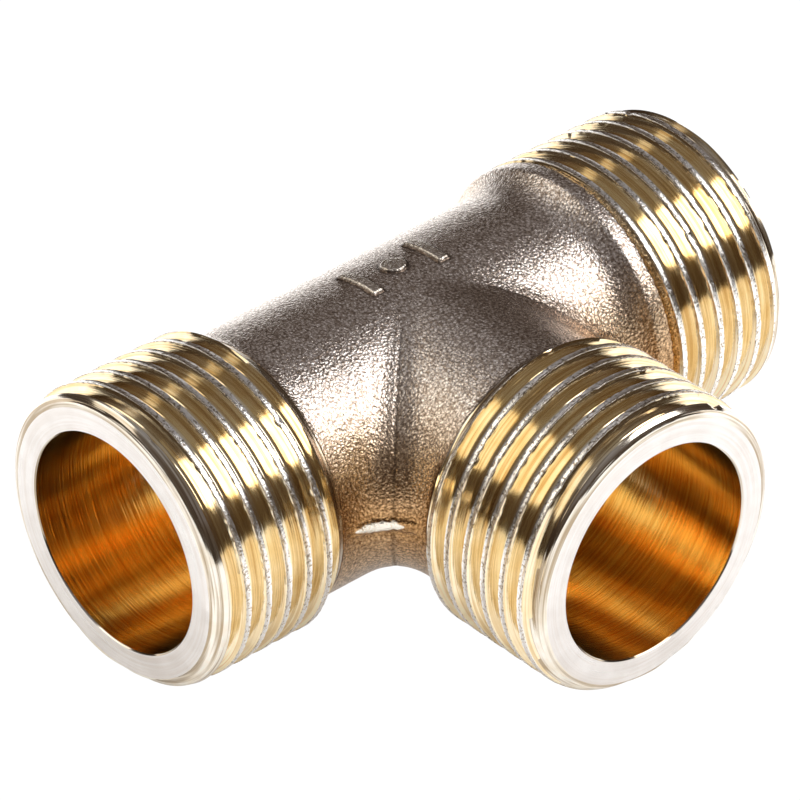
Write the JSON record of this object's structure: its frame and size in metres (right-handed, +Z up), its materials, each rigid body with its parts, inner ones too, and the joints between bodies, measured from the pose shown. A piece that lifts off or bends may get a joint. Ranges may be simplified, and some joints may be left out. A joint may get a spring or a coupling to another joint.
{
  "type": "tee fitting",
  "caption": "Equal pipe tee in forged brass with a male parallel pipe thread on each end, joining three threaded lines in one plane.",
  "frame": {"origin": "the point where the run's axis and the branch's axis cross", "axes": "X along the run, with the plain-collared end at -X and the end with the forged land at +X; the branch points to -Y; Z is up, square to the plane of the three ends"},
  "size_m": [0.0396, 0.0269, 0.0164],
  "materials": {
    "forged_brass": "shot-blasted forging skin, fine grain",
    "machined_brass": "turned and threaded, bright"
  },
  "bodies": {
    "root": {"forged_body": "forged_brass", "run_end_left": "machined_brass", "run_end_right": "machined_brass", "branch_end": "machined_brass", "flash_line_back": "forged_brass", "flash_line_left": "forged_brass", "flash_line_right": "forged_brass", "die_mark": "forged_brass"}
  },
  "joints": []
}
